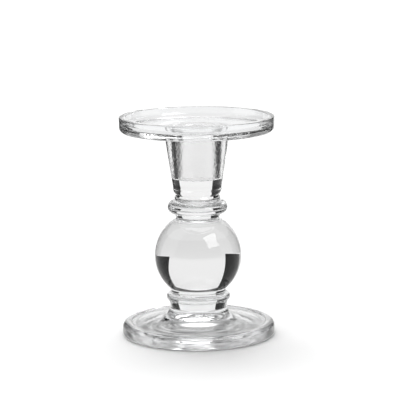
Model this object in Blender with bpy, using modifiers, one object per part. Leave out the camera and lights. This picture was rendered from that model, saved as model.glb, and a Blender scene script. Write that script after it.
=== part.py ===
"""Clear glass candlestick, an assembly of six turned glass sections stacked on one vertical axis.

From the table up: a round foot, a lower collar, a solid ball, an upper collar, a tapered candle
socket and a dished drip plate. Neighbouring sections meet on flat ground faces, a thin bond line
apart. Units are metres, +Z is up, and the origin is the centre of the foot's resting ring.
"""

import math

import bpy

# Driving dimensions
OVERALL_HEIGHT = 0.12963
PLATE_RADIUS = 0.04533
FOOT_RADIUS = 0.0448
BALL_RADIUS = 0.02546
BORE_RADIUS = 0.01168
BOND_LINE = 0.0003
FOOT_HEIGHT = 0.01662
LOWER_COLLAR_HEIGHT = 0.01139
UPPER_COLLAR_HEIGHT = 0.01358
PLATE_HEIGHT = 0.00885

# Flat joint faces between the sections
FOOT_JOINT_RADIUS = 0.0170
COLLAR_TOP_RADIUS = 0.01592
BALL_BASE_RADIUS = 0.01724
BALL_TOP_RADIUS = 0.01494
SOCKET_BASE_RADIUS = 0.01347
PLATE_JOINT_RADIUS = 0.02086

# Heights that follow from the others
BALL_CENTRE_HEIGHT = math.sqrt(BALL_RADIUS ** 2 - BALL_BASE_RADIUS ** 2)
BALL_HEIGHT = BALL_CENTRE_HEIGHT + math.sqrt(BALL_RADIUS ** 2 - BALL_TOP_RADIUS ** 2)
STEM_HEIGHT = FOOT_HEIGHT + LOWER_COLLAR_HEIGHT + BALL_HEIGHT + UPPER_COLLAR_HEIGHT
JOINT_COUNT = 5
SOCKET_HEIGHT = OVERALL_HEIGHT - STEM_HEIGHT - PLATE_HEIGHT - JOINT_COUNT * BOND_LINE

# Turning
TURN_STEPS = 48
MERGE_DISTANCE = 0.00001
SHARP_ANGLE = math.radians(32)
QUARTERS = (0.25, 0.5, 0.75, 1.0)


def oval(centre, out, up, start, end, pieces):
    """Points of an oval arc from start to end, in degrees, counted from +X towards +Z."""
    angles = [math.radians(start + (end - start) * i / pieces) for i in range(pieces + 1)]
    return [(centre[0] + out * math.cos(a), centre[1] + up * math.sin(a)) for a in angles]


def arc(centre, radius, start, end, pieces):
    """Points of a round arc."""
    return oval(centre, radius, radius, start, end, pieces)


def bead(centre, out, up, down, start, end):
    """Points of a bead whose roundness differs above and below its widest line."""
    pieces = 6
    upper = oval(centre, out, up, start, 0, pieces)
    return upper + oval(centre, out, down, 0, end, pieces)[1:]


def smooth_height(heights, place):
    """Height of a smooth curve through equally spaced heights; place runs from zero to one."""
    last = len(heights) - 1
    rises = [heights[i + 1] - heights[i] for i in range(last)]
    slopes = [0.0]
    for before, after in zip(rises, rises[1:]):
        slopes.append(2 * before * after / (before + after) if before * after > 0 else 0.0)
    slopes.append(rises[-1])
    i = min(int(place * last), last - 1)
    t = place * last - i
    ease = t * t * (3 - 2 * t)
    bend = t * (1 - t) * ((1 - t) * slopes[i] - t * slopes[i + 1])
    return heights[i] * (1 - ease) + heights[i + 1] * ease + bend


def rounded(corners, pieces):
    """Closed outline of (radius, height, rounding) corners, each corner rounded off."""
    points = []
    for i, (x, z, rounding) in enumerate(corners):
        if not rounding:
            points.append((x, z))
            continue
        back = math.atan2(corners[i - 1][1] - z, corners[i - 1][0] - x)
        after = corners[(i + 1) % len(corners)]
        turn = (math.atan2(after[1] - z, after[0] - x) - back + math.pi) % math.tau - math.pi
        reach = rounding / math.sin(abs(turn) / 2)
        centre = (x + reach * math.cos(back + turn / 2), z + reach * math.sin(back + turn / 2))
        side = math.copysign(math.pi / 2, turn)
        start = math.degrees(back - side)
        sweep = math.degrees(turn) - math.copysign(180.0, turn)
        points += arc(centre, rounding, start, start + sweep, pieces)
    return points


def foot_profile():
    """Round base: trumpet neck, sloping web, rounded bead rim, resting ring, hollow underside."""
    flare_out = 0.01304
    flare_down = 0.00788
    flare_end = 248.8
    crease = (0.03937, 0.00752)
    bead_crown = 0.44
    rim_height = 0.00820
    rim_round = 0.00325
    base_round = 0.00205
    ring_inner_radius = 0.03648
    hollow_heights = (0.01249, 0.01083, 0.00866, 0.00450, 0.00225, 0.0)
    web_sag = -0.00005
    hollow_pieces = 12
    outline = [(0.0, FOOT_HEIGHT)]
    flare_centre = (FOOT_JOINT_RADIUS + flare_out, FOOT_HEIGHT)
    outline += oval(flare_centre, flare_out, flare_down, 180, flare_end, 6)
    web_start = outline[-1]
    for t in QUARTERS[:-1]:
        radius = web_start[0] + (crease[0] - web_start[0]) * t
        height = web_start[1] + (crease[1] - web_start[1]) * t
        outline.append((radius, height - 4 * web_sag * t * (1 - t)))
    outline.append(crease)
    rim_centre = (FOOT_RADIUS - rim_round, rim_height - rim_round)
    crown = crease[0] + (rim_centre[0] - crease[0]) * bead_crown
    for t in QUARTERS:
        height = crease[1] + (rim_height - crease[1]) * math.sin(math.pi / 2 * t)
        outline.append((crease[0] + (crown - crease[0]) * t, height))
    outline += arc(rim_centre, rim_round, 90, 0, 5)
    outline += arc((FOOT_RADIUS - base_round, base_round), base_round, 0, -90, 4)
    for i in range(hollow_pieces + 1):
        place = 1 - i / hollow_pieces
        outline.append((ring_inner_radius * place, smooth_height(hollow_heights, place)))
    return outline


def lower_collar_profile():
    """Rounded bead over a short, slightly tapered drum."""
    bead_centre = (0.01553, 0.00594)
    bead_out = 0.00313
    bead_up = 0.00258
    bead_down = 0.00253
    bead_end = -52.5
    drum_top = (0.01699, 0.00258)
    bead_start = 80
    drum_base_radius = 0.01612
    outline = [(0.0, LOWER_COLLAR_HEIGHT), (COLLAR_TOP_RADIUS, LOWER_COLLAR_HEIGHT)]
    outline += bead(bead_centre, bead_out, bead_up, bead_down, bead_start, bead_end)
    outline += [drum_top, (drum_base_radius, 0.0), (0.0, 0.0)]
    return outline


def ball_profile():
    """Solid sphere with a flat ground on each pole; its base plane is height zero."""
    base_angle = -math.degrees(math.acos(BALL_BASE_RADIUS / BALL_RADIUS))
    top_angle = math.degrees(math.acos(BALL_TOP_RADIUS / BALL_RADIUS))
    sphere = arc((0.0, BALL_CENTRE_HEIGHT), BALL_RADIUS, top_angle, base_angle, 14)
    return [(0.0, BALL_HEIGHT)] + sphere + [(0.0, 0.0)]


def upper_collar_profile():
    """Full bead between two short necks; the lower neck flares onto the ball."""
    bead_centre = (0.01362, 0.00783)
    bead_out = 0.00389
    bead_up = 0.00401
    bead_down = 0.00365
    neck_flare = 0.00180
    neck_lift = 0.00188
    neck_base_radius = 0.01446
    bead_start = 95
    bead_end = -95
    outline = [(0.0, UPPER_COLLAR_HEIGHT), (SOCKET_BASE_RADIUS, UPPER_COLLAR_HEIGHT)]
    outline += bead(bead_centre, bead_out, bead_up, bead_down, bead_start, bead_end)
    outline += oval((neck_base_radius, neck_lift), neck_flare, neck_lift, 180, 270, 3)
    outline += [(0.0, 0.0)]
    return outline


def candle_socket_profile():
    """Tapered cup with a blind candle bore, a solid bottom and a fillet under the plate."""
    bore_depth = 0.02732
    bore_bottom_radius = 0.0110
    bore_corner = 0.0010
    cone_top_radius = 0.01894
    cone_base_radius = 0.01431
    base_round = 0.00500
    base_lift = 0.00522
    base_end = -49.6
    fillet = 0.00192
    bore_bottom = SOCKET_HEIGHT - bore_depth
    fillet_height = SOCKET_HEIGHT - fillet
    corner_centre = (bore_bottom_radius - bore_corner, bore_bottom + bore_corner)
    outline = [(0.0, bore_bottom)]
    outline += arc(corner_centre, bore_corner, -90, 0, 2)
    outline += [(BORE_RADIUS, SOCKET_HEIGHT)]
    outline += arc((cone_top_radius + fillet, fillet_height), fillet, 90, 180, 3)
    outline += arc((cone_base_radius - base_round, base_lift), base_round, 6, base_end, 4)
    outline += [(SOCKET_BASE_RADIUS, 0.0), (0.0, 0.0)]
    return outline


def drip_plate_profile():
    """Dished plate as a closed ring: bore mouth, flat floor, rounded rim and underside."""
    wall = 0.00390
    wall_lean = 0.00083
    floor = 0.00302
    floor_fillet = 0.00381
    mouth_round = 0.00139
    inner_rim_round = 0.00037
    outer_rim_round = 0.00066
    side_lean = 0.00018
    under_round = 0.00304
    under_rise = 0.00000
    inner_radius = PLATE_RADIUS - wall
    return rounded([
        (BORE_RADIUS, floor, mouth_round),
        (inner_radius - wall_lean, floor, floor_fillet),
        (inner_radius, PLATE_HEIGHT, inner_rim_round),
        (PLATE_RADIUS, PLATE_HEIGHT, outer_rim_round),
        (PLATE_RADIUS - side_lean, under_rise, under_round),
        (PLATE_JOINT_RADIUS, 0.0, 0.0),
        (BORE_RADIUS, 0.0, 0.0),
    ], 4)


def clear_scene():
    """Remove every object of the open scene."""
    for piece in list(bpy.data.objects):
        bpy.data.objects.remove(piece, do_unlink=True)


def clear_glass(name, base_color, roughness):
    """Principled material of clear pressed glass."""
    material = bpy.data.materials.new(name)
    material.use_nodes = True
    shader = material.node_tree.nodes["Principled BSDF"]
    shader.inputs["Base Color"].default_value = (*base_color, 1.0)
    shader.inputs["Roughness"].default_value = roughness
    shader.inputs["Metallic"].default_value = 0.0
    shader.inputs["IOR"].default_value = 1.52
    shader.inputs["Transmission Weight"].default_value = 1.0
    return material


def turned(name, profile, base_height, ring=False):
    """Turn a profile of (radius, height) points round +Z into one closed, smooth-shaded solid."""
    points = [(radius, 0.0, height) for radius, height in profile]
    edges = [(i, i + 1) for i in range(len(points) - 1)]
    if ring:
        edges.append((len(points) - 1, 0))
    outline = bpy.data.meshes.new(name + "_outline")
    outline.from_pydata(points, edges, [])
    piece = bpy.data.objects.new(name, outline)
    bpy.data.collections["glass_candlestick"].objects.link(piece)
    turn = piece.modifiers.new("turn", "SCREW")
    turn.steps = TURN_STEPS
    turn.render_steps = TURN_STEPS
    turn.use_merge_vertices = True
    turn.merge_threshold = MERGE_DISTANCE
    solid = bpy.data.meshes.new_from_object(piece.evaluated_get(bpy.context.evaluated_depsgraph_get()))
    solid.name = name
    piece.modifiers.clear()
    piece.data = solid
    bpy.data.meshes.remove(outline)
    solid.shade_smooth()
    solid.set_sharp_from_angle(angle=SHARP_ANGLE)
    piece.location.z = base_height
    return piece


def main():
    """Build the six sections and stack them, a bond line apart."""
    clear_scene()
    collection = bpy.data.collections.new("glass_candlestick")
    bpy.context.scene.collection.children.link(collection)
    axis = bpy.data.objects.new("candlestick_axis", None)
    collection.objects.link(axis)
    sections = [
        ("foot", foot_profile(), FOOT_HEIGHT, (0.93, 0.95, 0.95), 0.03),
        ("lower_collar", lower_collar_profile(), LOWER_COLLAR_HEIGHT, (0.94, 0.96, 0.96), 0.02),
        ("ball", ball_profile(), BALL_HEIGHT, (0.92, 0.94, 0.94), 0.01),
        ("upper_collar", upper_collar_profile(), UPPER_COLLAR_HEIGHT, (0.94, 0.96, 0.96), 0.02),
        ("candle_socket", candle_socket_profile(), SOCKET_HEIGHT, (0.93, 0.95, 0.95), 0.02),
        ("drip_plate", drip_plate_profile(), PLATE_HEIGHT, (0.93, 0.95, 0.95), 0.03),
    ]
    base_height = 0.0
    for name, profile, height, base_color, roughness in sections:
        piece = turned(name, profile, base_height, ring=name == "drip_plate")
        piece.parent = axis
        piece.data.materials.append(clear_glass(name + "_glass", base_color, roughness))
        base_height += height + BOND_LINE


main()
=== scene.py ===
"""Looks of the clear glass candlestick: fine turned glass sections, a pale studio and its camera."""

import math

import bpy
import numpy as np
from mathutils import Euler, Matrix, Vector


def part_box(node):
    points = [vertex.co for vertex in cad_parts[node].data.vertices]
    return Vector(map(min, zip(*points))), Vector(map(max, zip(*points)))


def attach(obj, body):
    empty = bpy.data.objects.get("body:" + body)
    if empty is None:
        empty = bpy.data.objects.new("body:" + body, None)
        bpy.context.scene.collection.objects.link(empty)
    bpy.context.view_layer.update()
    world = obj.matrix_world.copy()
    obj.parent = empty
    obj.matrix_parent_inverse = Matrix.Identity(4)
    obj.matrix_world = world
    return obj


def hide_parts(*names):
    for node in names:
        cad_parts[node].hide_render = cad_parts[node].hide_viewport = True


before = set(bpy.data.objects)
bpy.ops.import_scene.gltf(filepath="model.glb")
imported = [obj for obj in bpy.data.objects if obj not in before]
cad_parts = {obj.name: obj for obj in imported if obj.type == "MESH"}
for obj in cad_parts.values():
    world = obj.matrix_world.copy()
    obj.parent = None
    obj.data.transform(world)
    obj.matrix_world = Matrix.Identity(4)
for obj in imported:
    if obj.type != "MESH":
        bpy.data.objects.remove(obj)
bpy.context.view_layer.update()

SECTIONS = ("foot", "lower_collar", "ball", "upper_collar", "candle_socket", "drip_plate")
# fineness of the turned meshes, in metres and radians
TURN_STEPS = 240
ARC_STEP = math.radians(6)
LONGEST_STEP = 0.0014
SEAM_GAP = 0.00002
ON_AXIS = 0.000001
SHARP_ANGLE = math.radians(24)
# material slot of each kind of surface
GLASS = 0
BOND = 1
BORE = 2
WHITE = (1.0, 1.0, 1.0)


# ---------------------------------------------------------------------------------- sizes

def low(node):
    """Height of the underside of a CAD node."""
    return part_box(node)[0][2]


def high(node):
    """Height of the top of a CAD node."""
    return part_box(node)[1][2]


def reach(node):
    """Largest radius of a CAD node."""
    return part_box(node)[1][0]


def seam(lower, upper):
    """Height halfway across the bond line between two CAD nodes."""
    return (high(lower) + low(upper)) / 2


# ---------------------------------------------------------------------------------- outlines
# An outline is a list of (radius, height, surface) points; surface is that of the run after it.

def arc(centre, radius, start, end, surface=GLASS):
    """Points of an arc from start to end, in degrees, counted from +X towards +Z."""
    sweep = math.radians(end - start)
    pieces = max(2, round(abs(sweep) / ARC_STEP))
    angles = [math.radians(start) + sweep * i / pieces for i in range(pieces + 1)]
    return [(centre[0] + radius * math.cos(angle), centre[1] + radius * math.sin(angle), surface)
            for angle in angles]


FOOT = dict(
    joint_radius=0.0170, flare_out=0.01304, flare_down=0.00788, flare_end=248.8, web_rise=0.00005,
    crease_radius=0.03937, crease_height=0.00752, crown=0.44, rim_height=0.00820, rim_round=0.00325,
    base_round=0.00205, ring_inner=0.03648)
# height of the hollow underside, from the axis out to the resting ring
HOLLOW = (0.01249, 0.01083, 0.00866, 0.00450, 0.00225, 0.0)
FLARE_PIECES = 18
WEB_PLACES = (0.15, 0.3, 0.45, 0.6, 0.75, 0.9, 1.0)
BEAD_PLACES = (0.12, 0.25, 0.4, 0.55, 0.7, 0.85)
HOLLOW_PIECES = 40
BEAD_PIECES = 24
NECK_PIECES = 6


def smooth_height(heights, place):
    """Height of a smooth curve through equally spaced heights; place runs from zero to one."""
    last = len(heights) - 1
    rises = [heights[i + 1] - heights[i] for i in range(last)]
    slopes = [0.0]
    for before, after in zip(rises, rises[1:]):
        slopes.append(2 * before * after / (before + after) if before * after > 0 else 0.0)
    slopes.append(rises[-1])
    i = min(int(place * last), last - 1)
    t = place * last - i
    ease = t * t * (3 - 2 * t)
    bend = t * (1 - t) * ((1 - t) * slopes[i] - t * slopes[i + 1])
    return heights[i] * (1 - ease) + heights[i + 1] * ease + bend


def foot_outline():
    """Trumpet neck, sloping web, round bead rim, resting ring and hollow underside."""
    top = seam("foot", "lower_collar") - SEAM_GAP / 2
    outer = reach("foot")
    outline = [(0.0, top, BOND), (FOOT_BOND, top, GLASS)]
    for i in range(FLARE_PIECES + 1):
        turn = math.radians(180 + (FOOT["flare_end"] - 180) * i / FLARE_PIECES)
        outline.append((FOOT["joint_radius"] + FOOT["flare_out"] * (1 + math.cos(turn)),
                        top + FOOT["flare_down"] * math.sin(turn), GLASS))
    web_radius, web_height, _ = outline[-1]
    crease_radius, crease_height = FOOT["crease_radius"], FOOT["crease_height"]
    for t in WEB_PLACES:
        height = web_height + (crease_height - web_height) * t
        outline.append((web_radius + (crease_radius - web_radius) * t,
                        height + FOOT["web_rise"] * 4 * t * (1 - t), GLASS))
    # bead: its inner side rises from the crease, its outer side falls to the table
    rise = FOOT["rim_height"] - crease_height
    rim_round, base_round = FOOT["rim_round"], FOOT["base_round"]
    crown = crease_radius + (outer - rim_round - crease_radius) * FOOT["crown"]
    for t in BEAD_PLACES:
        outline.append((crease_radius + (crown - crease_radius) * t,
                        crease_height + rise * math.sin(math.pi / 2 * t), GLASS))
    outline += arc((outer - rim_round, FOOT["rim_height"] - rim_round), rim_round, 90, 0)
    outline += arc((outer - base_round, base_round), base_round, 0, -90)
    for i in range(HOLLOW_PIECES + 1):
        place = 1 - i / HOLLOW_PIECES
        outline.append((FOOT["ring_inner"] * place, smooth_height(HOLLOW, place), GLASS))
    return outline


LOWER = dict(
    top_radius=0.01592, bead_radius=0.01553, bead_height=0.00594, bead_out=0.00313, bead_up=0.00258,
    bead_down=0.00253, bead_start=80, bead_end=-52.5, drum_top=0.01699, drum_height=0.00258,
    drum_base=0.01612)
UPPER = dict(
    top_radius=0.01347, bead_radius=0.01362, bead_height=0.00783, bead_out=0.00389, bead_up=0.00401,
    bead_down=0.00365, bead_start=95, bead_end=-95, neck_flare=0.00180, neck_lift=0.00188,
    base_radius=0.01446)
BALL = dict(radius=0.02546, base_radius=0.01724)
# radius of the joined area at each joint: the smaller of the two faces that meet
FOOT_BOND = min(FOOT["joint_radius"], LOWER["drum_base"])
BALL_LOW_BOND = min(LOWER["top_radius"], BALL["base_radius"])
BALL_TOP_BOND = UPPER["base_radius"]


def bead(shape, foot_height):
    """Points of a bead, rounder or flatter above its widest line than below it."""
    points = []
    start, end = shape["bead_start"], shape["bead_end"]
    for i in range(BEAD_PIECES + 1):
        turn = math.radians(start + (end - start) * i / BEAD_PIECES)
        lift = shape["bead_up"] if turn > 0 else shape["bead_down"]
        points.append((shape["bead_radius"] + shape["bead_out"] * math.cos(turn),
                       foot_height + shape["bead_height"] + lift * math.sin(turn), GLASS))
    return points


def lower_collar_outline():
    """Rounded bead over a short tapered drum."""
    base = seam("foot", "lower_collar") + SEAM_GAP / 2
    top = seam("lower_collar", "ball") - SEAM_GAP / 2
    start = low("lower_collar")
    outline = [(0.0, top, BOND), (LOWER["top_radius"], top, GLASS)]
    outline += bead(LOWER, start)
    outline += [(LOWER["drum_top"], start + LOWER["drum_height"], GLASS)]
    outline += [(LOWER["drum_base"], base, BOND), (0.0, base, BOND)]
    return outline


def ball_outline():
    """Solid sphere with a flat ground on each pole."""
    base = seam("lower_collar", "ball") + SEAM_GAP / 2
    top = seam("ball", "upper_collar") - SEAM_GAP / 2
    radius = BALL["radius"]
    centre = low("ball") + math.sqrt(radius ** 2 - BALL["base_radius"] ** 2)
    base_angle = math.degrees(math.asin((base - centre) / radius))
    top_angle = math.degrees(math.asin((top - centre) / radius))
    outline = [(0.0, top, BOND), (BALL_TOP_BOND, top, GLASS)]
    outline += arc((0.0, centre), radius, top_angle, base_angle)
    outline += [(BALL_LOW_BOND, base, BOND), (0.0, base, BOND)]
    return outline


def upper_collar_outline():
    """Full round bead between two short necks; the lower neck flares onto the ball."""
    base = seam("ball", "upper_collar") + SEAM_GAP / 2
    top = seam("upper_collar", "candle_socket") - SEAM_GAP / 2
    outline = [(0.0, top, BOND), (UPPER["top_radius"], top, GLASS)]
    outline += bead(UPPER, low("upper_collar"))
    for i in range(NECK_PIECES + 1):
        turn = math.radians(180 + 90 * i / NECK_PIECES)
        outline.append((UPPER["base_radius"] + UPPER["neck_flare"] * math.cos(turn),
                        base + UPPER["neck_lift"] * (1 + math.sin(turn)), GLASS))
    outline[-1] = (*outline[-1][:2], BOND)
    outline += [(0.0, base, BOND)]
    return outline


CUP = dict(
    cone_base=0.01431, base_round=0.00500, base_lift=0.00522, base_start=6, base_end=-49.6,
    cone_top=0.01894, fillet=0.00192, bore_radius=0.01168, bore_base=0.0110, bore_depth=0.02732,
    bore_corner=0.0010)
PLATE = dict(
    wall=0.00390, wall_lean=0.00083, floor=0.00302, floor_fillet=0.00381, rim_inner=0.00037,
    rim_outer=0.00066, side_lean=0.00018, under_round=0.00304, mouth_round=0.00139)


def rounded(corners):
    """Points of a closed outline of (radius, height, rounding, surface) corners, each rounded off."""
    points = []
    for i, (x, z, rounding, surface) in enumerate(corners):
        if rounding == 0:
            points.append((x, z, surface))
            continue
        corner = np.array((x, z))
        back = np.array(corners[i - 1][:2]) - corner
        ahead = np.array(corners[(i + 1) % len(corners)][:2]) - corner
        back, ahead = back / np.linalg.norm(back), ahead / np.linalg.norm(ahead)
        half = math.acos(float(back @ ahead)) / 2
        middle = (back + ahead) / np.linalg.norm(back + ahead)
        centre = corner + middle * rounding / math.sin(half)
        start = corner + back * rounding / math.tan(half) - centre
        end = corner + ahead * rounding / math.tan(half) - centre
        first = math.atan2(start[1], start[0])
        sweep = (math.atan2(end[1], end[0]) - first + math.pi) % (2 * math.pi) - math.pi
        pieces = max(3, round(abs(sweep) / ARC_STEP))
        for k in range(pieces + 1):
            turn = first + sweep * k / pieces
            points.append((centre[0] + rounding * math.cos(turn),
                           centre[1] + rounding * math.sin(turn), surface))
    return points


def candle_socket_outline():
    """Tapered cup with a blind candle bore and a solid bottom."""
    base = seam("upper_collar", "candle_socket") + SEAM_GAP / 2
    top = seam("candle_socket", "drip_plate") - SEAM_GAP / 2
    bore_bottom = high("candle_socket") - CUP["bore_depth"]
    bore_corner = CUP["bore_corner"]
    outline = [(0.0, bore_bottom, GLASS)]
    outline += arc((CUP["bore_base"] - bore_corner, bore_bottom + bore_corner), bore_corner, -90, 0)
    outline[-1] = (*outline[-1][:2], BORE)
    outline += [(CUP["bore_radius"], top, BOND)]
    outline += arc((CUP["cone_top"] + CUP["fillet"], top - CUP["fillet"]), CUP["fillet"], 90, 180)
    base_centre = (CUP["cone_base"] - CUP["base_round"], low("candle_socket") + CUP["base_lift"])
    outline += arc(base_centre, CUP["base_round"], CUP["base_start"], CUP["base_end"])
    outline += [(UPPER["top_radius"], base, BOND), (0.0, base, BOND)]
    return outline


def drip_plate_outline():
    """Dished plate as a closed ring: bore mouth, flat floor, rounded rim and underside."""
    base = seam("candle_socket", "drip_plate") + SEAM_GAP / 2
    top = high("drip_plate")
    outer = reach("drip_plate")
    floor = low("drip_plate") + PLATE["floor"]
    inner = outer - PLATE["wall"]
    return rounded([
        (CUP["bore_radius"], floor, PLATE["mouth_round"], GLASS),
        (inner - PLATE["wall_lean"], floor, PLATE["floor_fillet"], GLASS),
        (inner, top, PLATE["rim_inner"], GLASS),
        (outer, top, PLATE["rim_outer"], GLASS),
        (outer - PLATE["side_lean"], base, PLATE["under_round"], GLASS),
        (CUP["cone_top"] + CUP["fillet"], base, 0, BOND),
        (CUP["bore_radius"], base, 0, GLASS),
    ])


OUTLINES = {
    "foot": foot_outline,
    "lower_collar": lower_collar_outline,
    "ball": ball_outline,
    "upper_collar": upper_collar_outline,
    "candle_socket": candle_socket_outline,
    "drip_plate": drip_plate_outline,
}


# ---------------------------------------------------------------------------------- meshes

def refined(outline, ring):
    """The outline with its long runs cut into short ones."""
    ends = outline[1:] + ([outline[0]] if ring else [])
    points = []
    for (r0, z0, surface), (r1, z1, _) in zip(outline, ends):
        pieces = max(1, math.ceil(math.hypot(r1 - r0, z1 - z0) / LONGEST_STEP))
        for i in range(pieces):
            points.append((r0 + (r1 - r0) * i / pieces, z0 + (z1 - z0) * i / pieces, surface))
    return points if ring else points + [outline[-1]]


def turned(name, outline, ring=False):
    """Closed mesh of an outline turned round +Z, with its outline running down the outer side."""
    points = refined(outline, ring)
    vertices, rows = [], []
    for radius, height, _ in points:
        steps = TURN_STEPS if radius > ON_AXIS else 1
        rows.append([len(vertices) + i for i in range(steps)])
        for i in range(steps):
            turn = 2 * math.pi * i / TURN_STEPS
            vertices.append((radius * math.cos(turn), radius * math.sin(turn), height))
    faces, surfaces = [], []
    pairs = list(zip(rows, rows[1:] + ([rows[0]] if ring else [])))
    for (upper, lower), (_, _, surface) in zip(pairs, points):
        for i in range(TURN_STEPS):
            j = (i + 1) % TURN_STEPS
            left = [upper[i % len(upper)], lower[i % len(lower)]]
            right = [lower[j % len(lower)], upper[j % len(upper)]]
            faces.append(list(dict.fromkeys(left + right)))
            surfaces.append(surface)
    mesh = bpy.data.meshes.new(name)
    mesh.from_pydata(vertices, [], faces)
    mesh.polygons.foreach_set("material_index", surfaces)
    mesh.shade_smooth()
    mesh.set_sharp_from_angle(angle=SHARP_ANGLE)
    mesh.validate()
    piece = bpy.data.objects.new(name, mesh)
    bpy.context.scene.collection.objects.link(piece)
    return piece


# ---------------------------------------------------------------------------------- materials

GLASS_IOR = 1.52
# rates of the glass's noises, per metre; SPOKE_RATE is per unit of direction round the axis
RING_RATE = 300.0
RING_DRIFT = 30.0
SPOKE_RATE = 6.0
SPOKE_DRIFT = 60.0
SPOKE_RISE = 120.0
PATCH_RATE = 45.0
MOTTLE_RATE = 700.0
MOTTLE_DEPTH = 0.0002
TINT_CHANGE = 0.008
PLAIN_DETAIL = 2.0
FINE_DETAIL = 3.0
# tint of the glass; height of its turning ripple and of its pressing marks, in metres; roughest polish
LOOKS = {
    "foot": dict(tint=(0.945, 0.950, 0.955), ripple=0.0002, streak=0.00006, roughest=0.14),
    "lower_collar": dict(tint=(0.945, 0.950, 0.952), ripple=0.00003, streak=0.00003, roughest=0.006),
    "ball": dict(tint=(0.930, 0.930, 0.930), ripple=0.0, streak=0.000015, roughest=0.006),
    "upper_collar": dict(tint=(0.945, 0.950, 0.952), ripple=0.00003, streak=0.00003, roughest=0.006),
    "candle_socket": dict(tint=(0.950, 0.950, 0.950), ripple=0.0, streak=0.00002, roughest=0.006),
    "drip_plate": dict(tint=(0.985, 0.990, 0.995), ripple=0.000008, streak=0.000008, roughest=0.006),
}


def scaled(nodes, links, source, x, y, z):
    """Vector multiplied axis by axis."""
    stretch = nodes.new("ShaderNodeVectorMath")
    stretch.operation = "MULTIPLY"
    stretch.inputs[1].default_value = (x, y, z)
    links.new(source, stretch.inputs[0])
    return stretch.outputs["Vector"]


def apart(nodes, links, vector):
    """The three values of a vector."""
    parts = nodes.new("ShaderNodeSeparateXYZ")
    links.new(vector, parts.inputs[0])
    return parts.outputs


def together(nodes, links, x, y, z):
    """Vector of three values."""
    whole = nodes.new("ShaderNodeCombineXYZ")
    for value, place in ((x, "X"), (y, "Y"), (z, "Z")):
        links.new(value, whole.inputs[place])
    return whole.outputs["Vector"]


def noise(nodes, links, vector, scale=1.0, detail=PLAIN_DETAIL):
    """Smooth noise between zero and one."""
    texture = nodes.new("ShaderNodeTexNoise")
    texture.inputs["Scale"].default_value = scale
    texture.inputs["Detail"].default_value = detail
    links.new(vector, texture.inputs["Vector"])
    return texture.outputs["Factor" if "Factor" in texture.outputs else "Fac"]


def bumped(nodes, links, height, depth, normal=None):
    """Normal bent by a height between zero and one, times a depth in metres."""
    bump = nodes.new("ShaderNodeBump")
    bump.inputs["Strength"].default_value = 1.0
    bump.inputs["Distance"].default_value = depth
    links.new(height, bump.inputs["Height"])
    if normal is not None:
        links.new(normal, bump.inputs["Normal"])
    return bump.outputs["Normal"]


def ring_place(nodes, links, place):
    """Noise coordinates that run fast across the turning and slowly round it."""
    radius = nodes.new("ShaderNodeVectorMath")
    radius.operation = "LENGTH"
    links.new(scaled(nodes, links, place, 1.0, 1.0, 0.0), radius.inputs[0])
    drift = apart(nodes, links, scaled(nodes, links, place, RING_DRIFT, RING_DRIFT, RING_RATE))
    across = nodes.new("ShaderNodeMath")
    across.operation = "MULTIPLY_ADD"
    across.inputs[1].default_value = RING_RATE
    links.new(radius.outputs["Value"], across.inputs[0])
    links.new(drift["Z"], across.inputs[2])
    return together(nodes, links, drift["X"], drift["Y"], across.outputs["Value"])


def spoke_place(nodes, links, place):
    """Noise coordinates that run fast round the axis and slowly along it."""
    spokes = nodes.new("ShaderNodeVectorMath")
    spokes.operation = "NORMALIZE"
    links.new(scaled(nodes, links, place, 1.0, 1.0, 0.0), spokes.inputs[0])
    drift = nodes.new("ShaderNodeVectorMath")
    drift.operation = "ADD"
    around = scaled(nodes, links, spokes.outputs["Vector"], SPOKE_RATE, SPOKE_RATE, 0.0)
    links.new(around, drift.inputs[0])
    links.new(scaled(nodes, links, place, SPOKE_DRIFT, SPOKE_DRIFT, SPOKE_RISE), drift.inputs[1])
    return drift.outputs["Vector"]


def glass_normal(nodes, links, place, look, mottled):
    """Surface of pressed glass: turning ripple, pressing marks and, in the bore, mottling."""
    normal = None
    if look["ripple"]:
        ripple = noise(nodes, links, ring_place(nodes, links, place))
        normal = bumped(nodes, links, ripple, look["ripple"])
    streaks = noise(nodes, links, spoke_place(nodes, links, place), detail=FINE_DETAIL)
    normal = bumped(nodes, links, streaks, look["streak"], normal)
    if mottled:
        mottle = noise(nodes, links, place, MOTTLE_RATE, FINE_DETAIL)
        normal = bumped(nodes, links, mottle, MOTTLE_DEPTH, normal)
    return normal


def clear_glass(name, mottled=False):
    """Fire-polished pressed glass with an uneven tint and polish."""
    look = LOOKS[name]
    material = bpy.data.materials.new(name + ("_bore_glass" if mottled else "_clear_glass"))
    material.use_nodes = True
    nodes, links = material.node_tree.nodes, material.node_tree.links
    shader = nodes["Principled BSDF"]
    shader.inputs["IOR"].default_value = GLASS_IOR
    shader.inputs["Transmission Weight"].default_value = 1.0
    place = nodes.new("ShaderNodeTexCoord").outputs["Object"]
    links.new(glass_normal(nodes, links, place, look, mottled), shader.inputs["Normal"])
    patches = noise(nodes, links, place, PATCH_RATE)
    paler = [min(1.0, value + TINT_CHANGE) for value in look["tint"]]
    tint = nodes.new("ShaderNodeMix")
    tint.data_type = "RGBA"
    tint.inputs["A"].default_value = (*look["tint"], 1.0)
    tint.inputs["B"].default_value = (*paler, 1.0)
    links.new(patches, tint.inputs["Factor"])
    links.new(tint.outputs["Result"], shader.inputs["Base Color"])
    polish = nodes.new("ShaderNodeMapRange")
    polish.inputs["To Min"].default_value = 0.0
    polish.inputs["To Max"].default_value = look["roughest"]
    links.new(patches, polish.inputs["Value"])
    links.new(polish.outputs["Result"], shader.inputs["Roughness"])
    return material


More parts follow.
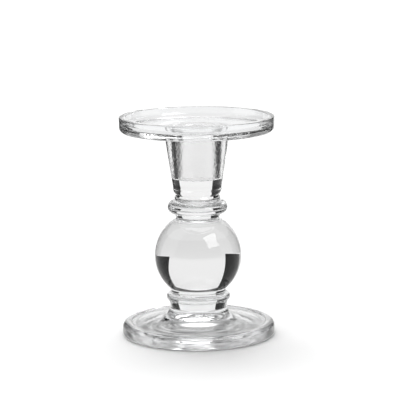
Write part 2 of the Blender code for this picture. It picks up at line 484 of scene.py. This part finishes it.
def bond():
    """A ground joint face wetted out by its bond: light goes straight through."""
    material = bpy.data.materials.new("glass_bond")
    material.use_nodes = True
    nodes, links = material.node_tree.nodes, material.node_tree.links
    nodes.clear()
    clear = nodes.new("ShaderNodeBsdfTransparent")
    output = nodes.new("ShaderNodeOutputMaterial")
    links.new(clear.outputs[0], output.inputs["Surface"])
    return material


# ---------------------------------------------------------------------------------- studio

# Lengths are in metres, bearings in degrees from straight behind, panel lights in multiples of white.
WORLD = 0.96
FLOOR_ALBEDO = 0.82
FLOOR_ROUGHNESS = 0.6
FLOOR_SPAN = 6.0
FLOOR_DROP = 0.00010
SUN = 1.42
SUN_DIRECTION = (-0.06, 0.45, 1.0)
SUN_ANGLE = math.radians(42)
# dim room, and upright cards: a bright back wall and two duller side walls
ROOM = 0.150
ROOM_RADIUS = 5.0
ROOM_SUNK = 0.01
ROOM_RINGS = 12
ROOM_SPOKES = 24
CARD_STEP = 4
CARD_DISTANCE = 0.9
BACK_WALL = 0.97
BACK_WALL_HALF = 34
BACK_WALL_TOP = 0.62
SIDE_WALL = 0.7
SIDE_WALL_TOP = 3.0
SIDE_LEFT_FROM = 66
SIDE_RIGHT_FROM = 74
SIDE_END = 115
# dark flags: name, distance behind the axis, inner edge, outer edge, lean of the inner edge
FELT = 0.009
FLAG_TOP = 0.9
FLAGS = (
    ("flag_left", 0.225, -0.106, -0.50, 0.0),
    ("flag_right", 0.28, 0.146, 0.90, 0.28),
)
# table as the glass sees it, a glowing sheet of painted light and shade: open paper near and far, with
# painted shade near the candlestick, a painted shadow under the foot with painted rings of light in it,
# and a painted pool of light under the stem
TABLE_DROP = 0.00005
# painted shade: the paper seen in the glass glows dimmer near the candlestick than far off
TABLE_NEAR = 0.86
TABLE_NEAR_END = 0.10
TABLE_FAR = 0.97
TABLE_FAR_START = 0.50
# painted shadow under the foot, with painted rings of gathered light in it
SHADE = 0.54
SHADE_RADIUS = 0.0408
SHADE_SOFT = 0.014
SHADE_CENTRE = (0.0, -0.006, 0.0)
RINGS_DEPTH = 0.5
RINGS_RATE = 500.0
RINGS_DRIFT = 75.0
RINGS_SPREAD = (0.3, 0.7)
# painted pool of light under the stem, standing in for light the glass gathers onto the table
SPOT = 1.2
SPOT_RADIUS = 0.0105
SPOT_SOFT = 0.004
SPOT_CENTRE = (0.0, 0.001, 0.0)
SOFTBOX_AIM = 0.06
SOFTBOX_DISTANCE = 1.2
TOP_LIGHT = 2.4
TOP_DIRECTION = (0.05, 0.10, 1.0)
TOP_WIDTH = 1.081
TOP_DEPTH = 0.9
FRONT_LIGHT = 4.2
FRONT_DIRECTION = (0.60, -0.48, 0.68)
FRONT_WIDTH = 0.80
FRONT_HEIGHT = 0.70


def paper(name, albedo):
    """Matt pale paper."""
    material = bpy.data.materials.new(name)
    material.use_nodes = True
    shader = material.node_tree.nodes["Principled BSDF"]
    shader.inputs["Base Color"].default_value = (albedo, albedo, albedo, 1.0)
    shader.inputs["Roughness"].default_value = FLOOR_ROUGHNESS
    shader.inputs["Specular IOR Level"].default_value = 0.0
    return material


def glow(name, strength=1.0):
    """Even white light, or near darkness, of a studio panel."""
    material = bpy.data.materials.new(name)
    material.use_nodes = True
    nodes, links = material.node_tree.nodes, material.node_tree.links
    nodes.clear()
    light = nodes.new("ShaderNodeEmission")
    light.inputs["Color"].default_value = (*WHITE, 1.0)
    light.inputs["Strength"].default_value = strength
    output = nodes.new("ShaderNodeOutputMaterial")
    links.new(light.outputs[0], output.inputs["Surface"])
    material.cycles.emission_sampling = "NONE"
    return material


def fade(nodes, links, value, span, before, after, smooth=True):
    """Level that passes from before to after as a value crosses a span; both may be links."""
    ramp = nodes.new("ShaderNodeMapRange")
    ramp.interpolation_type = "SMOOTHSTEP" if smooth else "LINEAR"
    ramp.inputs["From Min"].default_value = span[0]
    ramp.inputs["From Max"].default_value = span[1]
    for level, place in ((before, "To Min"), (after, "To Max")):
        if isinstance(level, float):
            ramp.inputs[place].default_value = level
        else:
            links.new(level, ramp.inputs[place])
    links.new(value, ramp.inputs["Value"])
    return ramp.outputs["Result"]


def distance_from(nodes, links, centre):
    """Distance of the shaded place from a fixed point."""
    away = nodes.new("ShaderNodeVectorMath")
    away.operation = "DISTANCE"
    away.inputs[1].default_value = centre
    links.new(nodes.new("ShaderNodeNewGeometry").outputs["Position"], away.inputs[0])
    return away.outputs["Value"]


def ringed_shade(nodes, links):
    """Shade under the foot, with light gathered into soft uneven rings round the axis."""
    place = nodes.new("ShaderNodeNewGeometry").outputs["Position"]
    drift = apart(nodes, links, scaled(nodes, links, place, RINGS_DRIFT, RINGS_DRIFT, 0.0))
    across = nodes.new("ShaderNodeMath")
    across.operation = "MULTIPLY"
    across.inputs[1].default_value = RINGS_RATE
    links.new(distance_from(nodes, links, SPOT_CENTRE), across.inputs[0])
    rings = together(nodes, links, drift["X"], drift["Y"], across.outputs["Value"])
    wave = noise(nodes, links, rings, detail=FINE_DETAIL)
    darkest, lightest = SHADE * (1 - RINGS_DEPTH), SHADE * (1 + RINGS_DEPTH)
    return fade(nodes, links, wave, RINGS_SPREAD, darkest, lightest, smooth=False)


def shaded_table():
    """Glowing sheet of painted light and shade for the bright table paper as the glass sees it: painted
    shadow under the foot, painted light under the stem.
    """
    # the sheet is no lamp: its glow is the painted light and shade of paper lit through the glass
    material = glow("table_painted_light")
    nodes, links = material.node_tree.nodes, material.node_tree.links
    light = next(node for node in nodes if node.type == "EMISSION")
    away = distance_from(nodes, links, SHADE_CENTRE)
    near_to_far = (TABLE_NEAR_END, TABLE_FAR_START)
    # painted shade near the candlestick, fading to open paper far off
    open_table = fade(nodes, links, away, near_to_far, TABLE_NEAR, TABLE_FAR, smooth=False)
    edge = (SHADE_RADIUS - SHADE_SOFT, SHADE_RADIUS + SHADE_SOFT)
    table = fade(nodes, links, away, edge, ringed_shade(nodes, links), open_table)
    edge = (SPOT_RADIUS - SPOT_SOFT, SPOT_RADIUS + SPOT_SOFT)
    # painted pool of light under the stem
    spot = fade(nodes, links, distance_from(nodes, links, SPOT_CENTRE), edge, SPOT, 0.0)
    both = nodes.new("ShaderNodeMath")
    both.operation = "ADD"
    links.new(table, both.inputs[0])
    links.new(spot, both.inputs[1])
    links.new(both.outputs["Value"], light.inputs["Strength"])
    return material


def stage_mesh(name, vertices, faces, material):
    """Mesh of the studio, which is not part of the candlestick."""
    mesh = bpy.data.meshes.new(name)
    mesh.from_pydata(vertices, [], faces)
    mesh.materials.append(material)
    board = bpy.data.objects.new(name, mesh)
    bpy.context.scene.collection.objects.link(board)
    return board


def panel(name, corners, material):
    """One flat panel through four corners."""
    return stage_mesh(name, corners, [(0, 1, 2, 3)], material)


def show_only_in_glass(board):
    """Hide a panel from the camera; it lights nothing else and casts no shadow."""
    board.visible_camera = False
    board.visible_diffuse = False
    board.visible_shadow = False


def polar(bearing, height, distance):
    """Point at a bearing from straight behind the candlestick, in degrees, positive to the right."""
    turn = math.radians(bearing)
    return (distance * math.sin(turn), distance * math.cos(turn), height)


def wall(name, start, end, top, radiance):
    """Evenly lit curved card between two bearings, standing on the table."""
    steps = max(2, round(abs(end - start) / CARD_STEP))
    vertices, faces = [], []
    for i in range(steps + 1):
        bearing = start + (end - start) * i / steps
        vertices += [polar(bearing, 0.0, CARD_DISTANCE), polar(bearing, top, CARD_DISTANCE)]
    for i in range(steps):
        faces.append((2 * i, 2 * i + 2, 2 * i + 3, 2 * i + 1))
    show_only_in_glass(stage_mesh(name, vertices, faces, glow(name + "_light", radiance)))


def dome_room():
    """Dim half-sphere of a room round the studio."""
    vertices, faces = [], []
    for ring in range(ROOM_RINGS + 1):
        lift = math.pi / 2 * ring / ROOM_RINGS
        for spoke in range(ROOM_SPOKES):
            turn = 2 * math.pi * spoke / ROOM_SPOKES
            vertices.append((ROOM_RADIUS * math.cos(lift) * math.cos(turn),
                             ROOM_RADIUS * math.cos(lift) * math.sin(turn),
                             ROOM_RADIUS * math.sin(lift) - ROOM_SUNK))
    for ring in range(ROOM_RINGS):
        base = ring * ROOM_SPOKES
        top = base + ROOM_SPOKES
        for spoke in range(ROOM_SPOKES):
            after = (spoke + 1) % ROOM_SPOKES
            faces.append((base + spoke, base + after, top + after, top + spoke))
    show_only_in_glass(stage_mesh("room_dome", vertices, faces, glow("room", ROOM)))


def flags():
    """Dark upright panels that give the glass its black edges."""
    felt = glow("flag_felt", FELT)
    for name, depth, inner, outer, lean in FLAGS:
        corners = [(inner, depth, 0.0), (outer, depth, 0.0), (outer, depth, FLAG_TOP),
                   (inner + lean * FLAG_TOP, depth, FLAG_TOP)]
        show_only_in_glass(panel(name, corners, felt))


def softbox(name, direction, width, height, radiance, glossy):
    """Light panel facing the candlestick from a direction; glossy says if the glass mirrors it."""
    toward = Vector(direction).normalized()
    side = toward.cross(Vector((0, 0, 1))).normalized() * width / 2
    up = side.cross(toward).normalized() * height / 2
    centre = Vector((0, 0, SOFTBOX_AIM)) + toward * SOFTBOX_DISTANCE
    corners = [centre - side - up, centre + side - up, centre + side + up, centre - side + up]
    board = panel(name, [tuple(corner) for corner in corners], glow(name + "_light", radiance))
    board.visible_glossy = glossy
    show_only_in_glass(board)


def ground(name, drop, material):
    """Level sheet under the candlestick."""
    corners = [(-FLOOR_SPAN, -FLOOR_SPAN, 0), (FLOOR_SPAN, -FLOOR_SPAN, 0),
               (FLOOR_SPAN, FLOOR_SPAN, 0), (-FLOOR_SPAN, FLOOR_SPAN, 0)]
    sheet = panel(name, corners, material)
    sheet.location.z = -drop
    return sheet


def key_light():
    """Broad sun that lays the soft shadow on the floor; the glass doesn't show it."""
    lamp = bpy.data.lights.new("key", "SUN")
    lamp.energy = SUN
    lamp.angle = SUN_ANGLE
    key = bpy.data.objects.new("key", lamp)
    bpy.context.scene.collection.objects.link(key)
    key.rotation_euler = Vector(SUN_DIRECTION).to_track_quat("Z", "Y").to_euler()
    key.visible_glossy = False
    key.visible_transmission = False


def studio():
    """Pale floor, bright back wall, dark side flags, two softboxes and a broad sun."""
    world = bpy.data.worlds.new("studio")
    bpy.context.scene.world = world
    world.use_nodes = True
    world.node_tree.nodes["Background"].inputs["Color"].default_value = (*WHITE, 1.0)
    world.node_tree.nodes["Background"].inputs["Strength"].default_value = WORLD
    floor = ground("floor", FLOOR_DROP, paper("floor_paper", FLOOR_ALBEDO))
    floor.visible_glossy = False
    floor.visible_transmission = False
    # glowing sheet with the table's light and shade painted in, seen only by the glass
    show_only_in_glass(ground("table_seen_in_glass", TABLE_DROP, shaded_table()))
    dome_room()
    wall("back_wall", -BACK_WALL_HALF, BACK_WALL_HALF, BACK_WALL_TOP, BACK_WALL)
    wall("side_left", -SIDE_LEFT_FROM, -SIDE_END, SIDE_WALL_TOP, SIDE_WALL)
    wall("side_right", SIDE_RIGHT_FROM, SIDE_END, SIDE_WALL_TOP, SIDE_WALL)
    flags()
    softbox("front_softbox", FRONT_DIRECTION, FRONT_WIDTH, FRONT_HEIGHT, FRONT_LIGHT, True)
    softbox("top_softbox", TOP_DIRECTION, TOP_WIDTH, TOP_DEPTH, TOP_LIGHT, False)
    key_light()


# ---------------------------------------------------------------------------------- camera

LENS = 190.2
SENSOR = 36.0
EYE = (0.0015, -1.2193, 0.2930)
EYE_PITCH = math.radians(90 - 9.911)
EYE_ROLL = math.radians(-0.617)
GAMMA = 0.8
BOUNCES = 32
MIRROR_BOUNCES = 16
BOND_CROSSINGS = 64


def camera():
    """Long lens at the photographed viewing angle."""
    lens = bpy.data.cameras.new("camera")
    lens.lens = LENS
    lens.sensor_width = SENSOR
    eye = bpy.data.objects.new("camera", lens)
    bpy.context.scene.collection.objects.link(eye)
    eye.location = EYE
    tilt = Euler((EYE_PITCH, 0.0, 0.0)).to_matrix()
    eye.rotation_euler = (tilt @ Matrix.Rotation(EYE_ROLL, 3, "Z")).to_euler()
    bpy.context.scene.camera = eye


def main():
    """Build the six glass sections in place of the CAD ones, then the studio and the camera."""
    scene = bpy.context.scene
    scene.view_settings.view_transform = "Standard"
    scene.view_settings.gamma = GAMMA
    scene.cycles.max_bounces = BOUNCES
    scene.cycles.transmission_bounces = BOUNCES
    scene.cycles.glossy_bounces = MIRROR_BOUNCES
    scene.cycles.transparent_max_bounces = BOND_CROSSINGS
    joint = bond()
    for name in SECTIONS:
        piece = turned(name + "_glass", OUTLINES[name](), ring=name == "drip_plate")
        piece.data.materials.append(clear_glass(name))
        piece.data.materials.append(joint)
        if name == "candle_socket":
            piece.data.materials.append(clear_glass(name, mottled=True))
        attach(piece, "root")
        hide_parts(name)
    studio()
    camera()


main()
